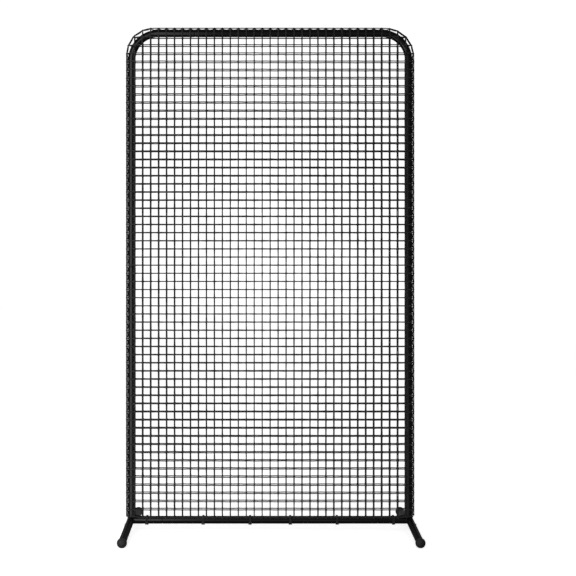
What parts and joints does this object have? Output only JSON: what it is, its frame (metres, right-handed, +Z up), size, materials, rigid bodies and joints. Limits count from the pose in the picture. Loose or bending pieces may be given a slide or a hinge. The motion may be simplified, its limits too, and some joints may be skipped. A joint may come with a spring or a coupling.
{
  "type": "pitching net",
  "caption": "Free-standing pitching net: a tube frame on sloping legs with rubber ball feet, plugged together with sprung buttons, inside a double-sided net tied to its bottom bar.",
  "frame": {"origin": "on the floor, in the middle under the frame", "axes": "+X to the right along the bottom bar, +Y from the front of the net to the back, +Z up"},
  "size_m": [1.2368, 0.6908, 2.1576],
  "materials": {
    "powder_coat": "black powder coat, semi-gloss",
    "rubber": "matte black rubber",
    "zinc_steel": "zinc plated",
    "twine": "black knotted polyethylene twine"
  },
  "bodies": {
    "screen": {"top_tube": "powder_coat", "bottom_bar": "powder_coat", "corner_bend_left": "powder_coat", "upright_left": "powder_coat", "corner_fitting_left": "powder_coat", "corner_bend_right": "powder_coat", "upright_right": "powder_coat", "corner_fitting_right": "powder_coat", "leg_front_left": "powder_coat", "foot_front_left": "rubber", "leg_rear_left": "powder_coat", "foot_rear_left": "rubber", "leg_front_right": "powder_coat", "foot_front_right": "rubber", "leg_rear_right": "powder_coat", "foot_rear_right": "rubber", "spring_top_left": "zinc_steel", "spring_side_left": "zinc_steel", "spring_upright_left": "zinc_steel", "spring_bar_left": "zinc_steel", "spring_leg_front_left": "zinc_steel", "spring_leg_rear_left": "zinc_steel", "spring_top_right": "zinc_steel", "spring_side_right": "zinc_steel", "spring_upright_right": "zinc_steel", "spring_bar_right": "zinc_steel", "spring_leg_front_right": "zinc_steel", "spring_leg_rear_right": "zinc_steel", "net_front": "twine", "net_back": "twine", "net_seam_cord": "twine", "net_mouth_rope": "twine", "net_tie_left_1": "twine", "net_tie_left_2": "twine", "net_tie_left_3": "twine", "net_tie_right_1": "twine", "net_tie_right_2": "twine", "net_tie_right_3": "twine"},
    "button_top_left": {"button_top_left": "zinc_steel"},
    "button_side_left": {"button_side_left": "zinc_steel"},
    "button_upright_left": {"button_upright_left": "zinc_steel"},
    "button_bar_left": {"button_bar_left": "zinc_steel"},
    "button_leg_front_left": {"button_leg_front_left": "zinc_steel"},
    "button_leg_rear_left": {"button_leg_rear_left": "zinc_steel"},
    "button_top_right": {"button_top_right": "zinc_steel"},
    "button_side_right": {"button_side_right": "zinc_steel"},
    "button_upright_right": {"button_upright_right": "zinc_steel"},
    "button_bar_right": {"button_bar_right": "zinc_steel"},
    "button_leg_front_right": {"button_leg_front_right": "zinc_steel"},
    "button_leg_rear_right": {"button_leg_rear_right": "zinc_steel"}
  },
  "joints": [
    {"name": "press_top_left", "type": "slide", "parent": "screen", "child": "button_top_left", "axis": [0, -1, 0], "range_m": [0, 0.0053], "stiffness_N_per_m": 1500, "springref_m": -0.002, "deforming": ["spring_top_left"]},
    {"name": "press_side_left", "type": "slide", "parent": "screen", "child": "button_side_left", "axis": [0, -1, 0], "range_m": [0, 0.0053], "stiffness_N_per_m": 1500, "springref_m": -0.002, "deforming": ["spring_side_left"]},
    {"name": "press_upright_left", "type": "slide", "parent": "screen", "child": "button_upright_left", "axis": [0, -1, 0], "range_m": [0, 0.0053], "stiffness_N_per_m": 1500, "springref_m": -0.002, "deforming": ["spring_upright_left"]},
    {"name": "press_bar_left", "type": "slide", "parent": "screen", "child": "button_bar_left", "axis": [0, -1, 0], "range_m": [0, 0.0053], "stiffness_N_per_m": 1500, "springref_m": -0.002, "deforming": ["spring_bar_left"]},
    {"name": "press_leg_front_left", "type": "slide", "parent": "screen", "child": "button_leg_front_left", "axis": [1, 0, 0], "range_m": [0, 0.0053], "stiffness_N_per_m": 1500, "springref_m": -0.002, "deforming": ["spring_leg_front_left"]},
    {"name": "press_leg_rear_left", "type": "slide", "parent": "screen", "child": "button_leg_rear_left", "axis": [1, 0, 0], "range_m": [0, 0.0053], "stiffness_N_per_m": 1500, "springref_m": -0.002, "deforming": ["spring_leg_rear_left"]},
    {"name": "press_top_right", "type": "slide", "parent": "screen", "child": "button_top_right", "axis": [0, -1, 0], "range_m": [0, 0.0053], "stiffness_N_per_m": 1500, "springref_m": -0.002, "deforming": ["spring_top_right"]},
    {"name": "press_side_right", "type": "slide", "parent": "screen", "child": "button_side_right", "axis": [0, -1, 0], "range_m": [0, 0.0053], "stiffness_N_per_m": 1500, "springref_m": -0.002, "deforming": ["spring_side_right"]},
    {"name": "press_upright_right", "type": "slide", "parent": "screen", "child": "button_upright_right", "axis": [0, -1, 0], "range_m": [0, 0.0053], "stiffness_N_per_m": 1500, "springref_m": -0.002, "deforming": ["spring_upright_right"]},
    {"name": "press_bar_right", "type": "slide", "parent": "screen", "child": "button_bar_right", "axis": [0, -1, 0], "range_m": [0, 0.0053], "stiffness_N_per_m": 1500, "springref_m": -0.002, "deforming": ["spring_bar_right"]},
    {"name": "press_leg_front_right", "type": "slide", "parent": "screen", "child": "button_leg_front_right", "axis": [-1, 0, 0], "range_m": [0, 0.0053], "stiffness_N_per_m": 1500, "springref_m": -0.002, "deforming": ["spring_leg_front_right"]},
    {"name": "press_leg_rear_right", "type": "slide", "parent": "screen", "child": "button_leg_rear_right", "axis": [-1, 0, 0], "range_m": [0, 0.0053], "stiffness_N_per_m": 1500, "springref_m": -0.002, "deforming": ["spring_leg_rear_right"]}
  ]
}
